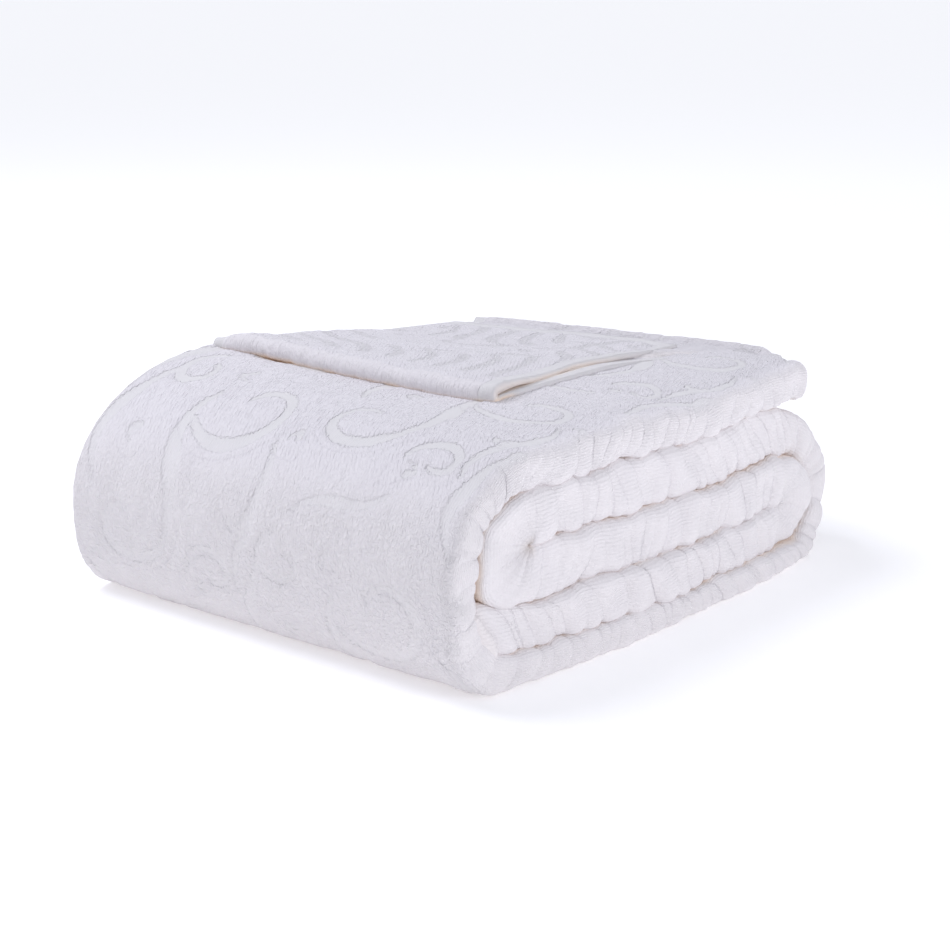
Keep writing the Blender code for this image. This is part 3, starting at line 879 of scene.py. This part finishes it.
    for i in range(n - 1):
        for j in range(m - 1):
            faces.append((vid(0, i, j), vid(0, i + 1, j), vid(0, i + 1, j + 1), vid(0, i, j + 1)))
            faces.append((vid(1, i, j), vid(1, i, j + 1), vid(1, i + 1, j + 1), vid(1, i + 1, j)))
    for i in range(n - 1):
        faces.append((vid(0, i, 0), vid(1, i, 0), vid(1, i + 1, 0), vid(0, i + 1, 0)))
        faces.append((vid(0, i, m - 1), vid(0, i + 1, m - 1), vid(1, i + 1, m - 1), vid(1, i, m - 1)))
    for j in range(m - 1):
        faces.append((vid(0, 0, j), vid(0, 0, j + 1), vid(1, 0, j + 1), vid(1, 0, j)))
        faces.append((vid(0, n - 1, j), vid(1, n - 1, j), vid(1, n - 1, j + 1), vid(0, n - 1, j + 1)))
    points = np.concatenate([down_side.reshape(-1, 3), up_side.reshape(-1, 3)])
    points = (points - SHIFT) * MM
    two = lambda a: np.concatenate([a.ravel(), a.ravel()])
    # Painted shade: tucked marks where the flap is painted tan and warm, under its front fold and in the crevice beside
    # it.
    from_front = np.abs(x - x[part == "front"][0][None, :])
    tucked = np.where(np.isin(part, ["lower"])[:, None], smooth(26.0, 6.0, from_front), 0.0)
    round_fold = np.where(part == "front", 1.0, 0.0)
    turned = np.cumsum(round_fold) / round_fold.sum()
    tucked = np.maximum(tucked, (round_fold * (1 - smooth(0.18, 0.50, turned)))[:, None] + 0 * vv)
    lip = np.where(is_lower, 10.0 * np.clip((x - 131.0) / 160.0, 0.0, 1.0), -4.0)
    # Painted shade: inside_hem paints the inner faces of the hem's slit warm, where shade falls.
    inside_hem = np.where(is_lower | upper, 0.9 * smooth(0.0, 4.0, to_hem - lip) * smooth(34.0, 16.0, to_hem), 0.0)
    inside_hem = inside_hem * smooth(0.0, -10.0, x - x[-1][None, :]) * (1 - 0.75 * smooth(270.0, 330.0, x))
    ply_in = np.concatenate([np.zeros(n * m), np.ones(n * m)])
    # Painted light: the flap's flat plies get the top's cooler tint, its fold and end less of it.
    looks = {
        "cloth": np.stack([two(to_hem + 0 * vv), two(vv + 0.0), np.zeros(2 * n * m)], axis=1) * MM,
        "relief": np.stack([two(np.clip(low, -9, 9)), two(np.clip(signed, -9, 9)), two(np.clip(plain, 0, 9))], axis=1),
        "finish_and_crease_shade": np.stack([np.zeros(2 * n * m), two(hem), np.where(ply_in > 0.5, two(tucked), two(inside_hem))], axis=1),
        "shade_and_depth": np.stack([two(np.where(np.isin(part, ["front", "end"]), 0.4, 1.0)[:, None] + 0.0 * vv),
                          np.where(ply_in > 0.5, 0.9 * two(tucked), 0.0 * two(inside_hem)), np.full(2 * n * m, 0.6)], axis=1),
    }
    return points, faces, looks


def make_object(name, points, faces, looks):
    mesh = bpy.data.meshes.new(name)
    mesh.from_pydata(points.tolist(), [], faces)
    mesh.update()
    for key, values in looks.items():
        layer = mesh.attributes.new(key, "FLOAT_VECTOR", "POINT")
        layer.data.foreach_set("vector", values.astype(np.float32).ravel())
    mesh.shade_smooth()
    obj = bpy.data.objects.new(name, mesh)
    bpy.context.scene.collection.objects.link(obj)
    corners = np.array([[0.0, 0.0, 0.0]])
    volume = 0.0
    mesh.calc_loop_triangles()
    tri = np.empty(len(mesh.loop_triangles) * 3, np.int32)
    mesh.loop_triangles.foreach_get("vertices", tri)
    corners = points[tri.reshape(-1, 3)]
    volume = np.einsum("ij,ij->i", corners[:, 0], np.cross(corners[:, 1], corners[:, 2])).sum() / 6
    print(name, len(tri) // 3, "triangles", round(volume * 1000, 2), "litres")
    if volume < 0:
        mesh.flip_normals()
    return obj


# ------------------------------------------------------------------ materials
class Tree:
    """Short calls for making a node tree."""

    def __init__(self, material):
        material.use_nodes = True
        self.tree = material.node_tree
        self.tree.nodes.clear()

    def put(self, kind, inputs=None, **settings):
        node = self.tree.nodes.new(kind)
        for key, value in settings.items():
            setattr(node, key, value)
        for key, value in (inputs or {}).items():
            if isinstance(value, bpy.types.NodeSocket):
                self.tree.links.new(value, node.inputs[key])
            else:
                node.inputs[key].default_value = value
        return node

    def math(self, op, a, b=0.0, c=0.0, clamp=False):
        node = self.put("ShaderNodeMath", {0: a, 1: b, 2: c}, operation=op)
        node.use_clamp = clamp
        return node.outputs[0]

    def ramp(self, value, a, b, low=0.0, high=1.0):
        node = self.put("ShaderNodeMapRange", {"Value": value, "From Min": a, "From Max": b,
                                               "To Min": low, "To Max": high},
                        interpolation_type="SMOOTHSTEP")
        return node.outputs["Result"]

    def blend(self, share, a, b):
        """Numbers a to b by share."""
        return self.math("ADD", self.math("MULTIPLY", self.math("SUBTRACT", b, a), share), a)


def terry(name, top_lit_pile_tint, upright_tint, band_tint, warm_crease_shade, crevice_shade, mottle_and_hollow_shade, way):
    """White terry: standing loops, smooth low bands and ribbed rolled edges.
    way is +1 or -1, for the side of the ribs that the loops lean to."""
    material = bpy.data.materials.new(name)
    t = Tree(material)
    cloth = t.put("ShaderNodeAttribute", attribute_name="cloth").outputs["Vector"]
    relief_ = t.put("ShaderNodeSeparateXYZ", {0: t.put("ShaderNodeAttribute", attribute_name="relief").outputs["Vector"]})
    finish_and_crease_shade = t.put("ShaderNodeSeparateXYZ", {0: t.put("ShaderNodeAttribute", attribute_name="finish_and_crease_shade").outputs["Vector"]})
    shade_and_depth = t.put("ShaderNodeSeparateXYZ", {0: t.put("ShaderNodeAttribute", attribute_name="shade_and_depth").outputs["Vector"]})
    uv = t.put("ShaderNodeSeparateXYZ", {0: cloth})
    low, cut, plain = relief_.outputs[0], relief_.outputs[1], relief_.outputs[2]
    zone, hem, crease = finish_and_crease_shade.outputs[0], finish_and_crease_shade.outputs[1], finish_and_crease_shade.outputs[2]
    flat, cut_depth = shade_and_depth.outputs[0], shade_and_depth.outputs[2]

    def noise_at(scale, detail=2.0, rough=0.5, stretch=(1.0, 1.0, 1.0), turn=0.0):
        turned = t.put("ShaderNodeVectorRotate", {"Vector": cloth, "Angle": -turn}, rotation_type="Z_AXIS").outputs[0]
        mapped = t.put("ShaderNodeMapping", {"Vector": turned, "Scale": stretch}).outputs[0]
        return t.put("ShaderNodeTexNoise", {"Vector": mapped, "Scale": scale, "Detail": detail, "Roughness": rough},
                     noise_dimensions="3D").outputs["Fac"]

    wobble = noise_at(260.0, 2.0, 0.6)
    ragged = noise_at(480.0, 1.0, 0.5)
    # Ribs run along the cloth; where it lies flat its loops lean, and slant them.
    phase = t.math("ADD", t.math("MULTIPLY", uv.outputs[0], 2 * math.pi / 0.00205),
                   t.math("MULTIPLY", wobble, 3.2))
    ribs = t.math("MULTIPLY_ADD", t.math("SINE", phase), 0.5, 0.5)
    leaning = t.math("ADD", t.math("MULTIPLY", uv.outputs[0], 2 * math.pi * 0.912 / LEAN_PITCH),
                     t.math("MULTIPLY", uv.outputs[1], way * 2 * math.pi * 0.41 / LEAN_PITCH))
    leaning = t.math("ADD", leaning, t.math("MULTIPLY", noise_at(150.0, 2.0, 0.6), 5.0))
    slanted = t.math("MULTIPLY_ADD", t.math("SINE", leaning), 0.5, 0.5)
    # Loops, which look longer along the way they lean.
    upright = t.ramp(noise_at(440.0, 2.0, 0.6, (1.0, 0.80, 1.0), way * 0.35), 0.32, 0.68)
    lying = t.ramp(noise_at(430.0, 2.0, 0.6, (0.46, 1.0, 1.0), -way * 0.90), 0.30, 0.70)
    pebble = t.blend(flat, upright, lying)
    fuzz = noise_at(1500.0, 2.0, 0.6)

    shift = t.math("MULTIPLY_ADD", ragged, 5.0, -2.5)
    high = t.ramp(t.math("ADD", low, shift), -0.7, 0.7)
    # Where it stands upright a low band shows mostly by its edge.
    high = t.blend(flat, t.math("MULTIPLY_ADD", high, 0.30, 0.70), high)
    high = t.math("MULTIPLY", high, t.math("SUBTRACT", 1.0, hem))
    near_cut = t.ramp(plain, 2.2, 3.2, 1.0, 0.0)
    cut_gap = t.math("ABSOLUTE", t.math("ADD", cut, t.math("MULTIPLY_ADD", ragged, 1.2, -0.6)))
    groove = t.math("MULTIPLY", t.ramp(cut_gap, 0.0, 1.25, 1.0, 0.0), near_cut)
    groove = t.math("MULTIPLY", groove, t.math("SUBTRACT", 1.0, hem))
    across = t.math("MULTIPLY", t.math("MULTIPLY", groove, zone), cut_depth)
    groove = t.math("MULTIPLY", groove, t.math("SUBTRACT", 1.0, zone))

    plush = t.math("ADD", t.math("MULTIPLY", pebble, t.blend(flat, 0.78, 0.62)),
                   t.math("MULTIPLY", t.blend(flat, ribs, slanted), t.blend(flat, 0.16, 0.34)))
    level = t.math("ADD", t.math("MULTIPLY", ribs, 0.16), t.math("MULTIPLY", pebble, 0.08))
    height = t.blend(high, level, t.math("ADD", plush, 0.45))
    rolled = t.math("ADD", t.math("MULTIPLY", ribs, 0.20), t.math("MULTIPLY", upright, 0.20))
    height = t.math("MULTIPLY", height, t.math("MULTIPLY_ADD", flat, 0.16, 0.82))
    height = t.blend(zone, height, rolled)
    # The pile parts in a faint, beaded line where a low band begins.
    part = t.math("ABSOLUTE", t.math("ADD", low, t.math("MULTIPLY", shift, 0.8)))
    part = t.math("MULTIPLY", t.ramp(part, 0.0, 1.4, 1.0, 0.0), t.ramp(ragged, 0.44, 0.62))
    part = t.math("MULTIPLY", part, t.math("SUBTRACT", 1.0, t.math("MAXIMUM", hem, zone)))
    height = t.math("SUBTRACT", height, t.math("MULTIPLY", part, t.blend(flat, 0.48, 0.14)))
    height = t.math("SUBTRACT", height, t.math("MULTIPLY", t.math("MULTIPLY", groove, t.ramp(ragged, 0.42, 0.6)), 0.25))
    height = t.math("SUBTRACT", height, t.math("MULTIPLY", across, 0.46))
    woven = t.math("ADD", t.math("MULTIPLY", ribs, 0.12), t.math("MULTIPLY", fuzz, 0.25))
    height = t.blend(hem, height, woven)
    height = t.math("ADD", height, t.math("MULTIPLY", fuzz, 0.12))

    def tint(factor, a, b):
        node = t.put("ShaderNodeMix", {"Factor": factor}, data_type="RGBA")
        for key, value in (("A", a), ("B", b)):
            if isinstance(value, bpy.types.NodeSocket):
                t.tree.links.new(value, node.inputs[key])
            else:
                node.inputs[key].default_value = (*value, 1.0)
        return node.outputs["Result"]

    mottle = noise_at(34.0, 3.0, 0.55)
    # Painted light: pile on upward-facing cloth takes a cooler tint than on upright cloth, for how light falls on the
    # top and the sides.
    colour = tint(t.math("MAXIMUM", high, zone), band_tint, tint(flat, upright_tint, top_lit_pile_tint))
    # Painted shade: darker between the loops, along grooves and band edges, and across the rolled edges' grooves; the
    # mottle added to it is random tone of the cloth.
    shade = t.math("MULTIPLY", t.math("SUBTRACT", 1.0, pebble), t.math("MULTIPLY_ADD", zone, -0.20, 0.26))
    shade = t.math("MULTIPLY", shade, t.math("MULTIPLY_ADD", high, 0.7, 0.3))
    shade = t.math("ADD", shade, t.math("MULTIPLY", t.math("SUBTRACT", mottle, 0.5), 0.4))
    shade = t.math("ADD", shade, t.math("MULTIPLY", t.math("MAXIMUM", part, groove), 0.16))
    shade = t.math("ADD", shade, t.math("MULTIPLY", across, 0.26), clamp=True)
    colour = tint(shade, colour, mottle_and_hollow_shade)
    # Painted shade: a warm tan in the creases between rolled edges, inside the flap's hem slit and under its fold.
    colour = tint(crease, colour, warm_crease_shade)
    # Painted shade: a tan in the crevices under the flap's fold, at D's end and in the roll's pit.
    colour = tint(shade_and_depth.outputs[1], colour, crevice_shade)

    bump = t.put("ShaderNodeBump", {"Strength": 1.0, "Distance": 0.0011, "Height": height})
    shader = t.put("ShaderNodeBsdfPrincipled", {
        "Base Color": colour, "Normal": bump.outputs["Normal"],
        "Roughness": 0.92, "Specular IOR Level": 0.25,
        "Sheen Weight": 0.25, "Sheen Roughness": 0.55,
    })
    shader.inputs["Sheen Tint"].default_value = (1.0, 1.0, 1.0, 1.0)
    t.put("ShaderNodeOutputMaterial", {"Surface": shader.outputs[0]})
    return material


# -------------------------------------------------------------------- the set
def make_set():
    scene = bpy.context.scene
    scene.view_settings.view_transform = "Standard"
    scene.view_settings.look = "None"
    scene.cycles.max_bounces = 12
    scene.cycles.diffuse_bounces = 9
    world = bpy.data.worlds.new("studio")
    scene.world = world
    world.use_nodes = True
    back = world.node_tree.nodes["Background"]
    back.inputs["Color"].default_value = (0.90, 0.92, 1.0, 1.0)
    back.inputs["Strength"].default_value = WORLD_STRENGTH

    mesh = bpy.data.meshes.new("studio_floor")
    s = 160.0
    mesh.from_pydata([(-s, -s, 0), (s, -s, 0), (s, s, 0), (-s, s, 0)], [], [(0, 1, 2, 3)])
    floor = bpy.data.objects.new("studio_floor", mesh)
    floor.location.z = -0.0004
    scene.collection.objects.link(floor)
    material = bpy.data.materials.new("pale_floor")
    t = Tree(material)
    grain = t.put("ShaderNodeTexNoise", {"Scale": 60.0, "Detail": 3.0}).outputs["Fac"]
    # The floor is lit evenly: far from the lights a glow makes up for them.
    place = t.put("ShaderNodeTexCoord").outputs["Object"]
    away = t.put("ShaderNodeVectorMath", {0: place}, operation="LENGTH").outputs["Value"]
    shader = t.put("ShaderNodeBsdfPrincipled", {
        "Base Color": (0.95, 0.95, 0.955, 1.0), "Roughness": 0.9, "Specular IOR Level": 0.1,
        "Emission Strength": t.ramp(away, 0.4, 3.0, 0.24, FLOOR_GLOW),
        "Normal": t.put("ShaderNodeBump", {"Strength": 0.02, "Height": grain}).outputs[0],
    })
    shader.inputs["Emission Color"].default_value = (1.0, 1.0, 1.0, 1.0)
    t.put("ShaderNodeOutputMaterial", {"Surface": shader.outputs[0]})
    mesh.materials.append(material)

    def area(name, place, aim, size, power, colour):
        light = bpy.data.lights.new(name, "AREA")
        light.shape, light.size, light.energy = "DISK", size, power
        light.color = colour
        obj = bpy.data.objects.new(name, light)
        obj.location = place
        obj.rotation_euler = (Vector(aim) - Vector(place)).to_track_quat("-Z", "Y").to_euler()
        scene.collection.objects.link(obj)

    for row in LIGHTS:
        area(**row)


WORLD_STRENGTH = 0.60
FLOOR_GLOW = 0.40
LIGHTS = (
    {"name": "key", "place": (0.35, -2.5, 0.62), "aim": (0, 0, 0.07), "size": 1.0, "power": 16.5, "colour": (0.93, 0.935, 1.0)},
    {"name": "fill", "place": (-2.5, -0.3, 1.1), "aim": (0, 0, 0.08), "size": 0.9, "power": 2.0, "colour": (0.91, 0.92, 1.0)},
    {"name": "above", "place": (-0.45, 1.2, 2.1), "aim": (0, 0, 0.1), "size": 1.5, "power": 30.0, "colour": (0.91, 0.92, 1.0)},
)


def make_camera():
    """At the photograph's place, as fitted to the bundle's outline."""
    data = bpy.data.cameras.new("view")
    data.sensor_width = 36.0
    data.lens = 36.0 * 1930.0 / 950.0
    data.clip_start, data.clip_end = 0.01, 400.0
    camera = bpy.data.objects.new("view", data)
    pitch = math.radians(14.7)
    forward = Vector((0.7837 * math.cos(pitch), 0.6211 * math.cos(pitch), -math.sin(pitch)))
    right = Vector((0.6211, -0.7837, 0.0)).normalized()
    up = right.cross(forward)
    place = Vector((-0.91536 - SHIFT[0] * MM, -0.71725 - SHIFT[1] * MM, 0.449))
    turn = Matrix((right, up, -forward)).transposed().to_4x4()
    camera.matrix_world = Matrix.Translation(place) @ turn
    bpy.context.scene.collection.objects.link(camera)
    bpy.context.scene.camera = camera


def main():
    make_camera()
    make_set()
    body = make_object("bedspread_cloth", *build_body())
    flap = make_object("bedspread_flap", *build_flap())
    tints = {
        "top_lit_pile_tint": (0.806, 0.776, 0.798),
        "upright_tint": (0.812, 0.776, 0.782),
        "band_tint": (0.764, 0.744, 0.744),
        "warm_crease_shade": (0.955, 0.848, 0.760),
        "crevice_shade": (0.920, 0.690, 0.470),
        "mottle_and_hollow_shade": (0.690, 0.655, 0.695),
    }
    body.data.materials.append(terry("terry_pile", **tints, way=1.0))
    flap.data.materials.append(terry("terry_flap", **tints, way=-1.0))
    for piece in (body, flap):
        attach(piece, "root")
        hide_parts("bedspread")


main()
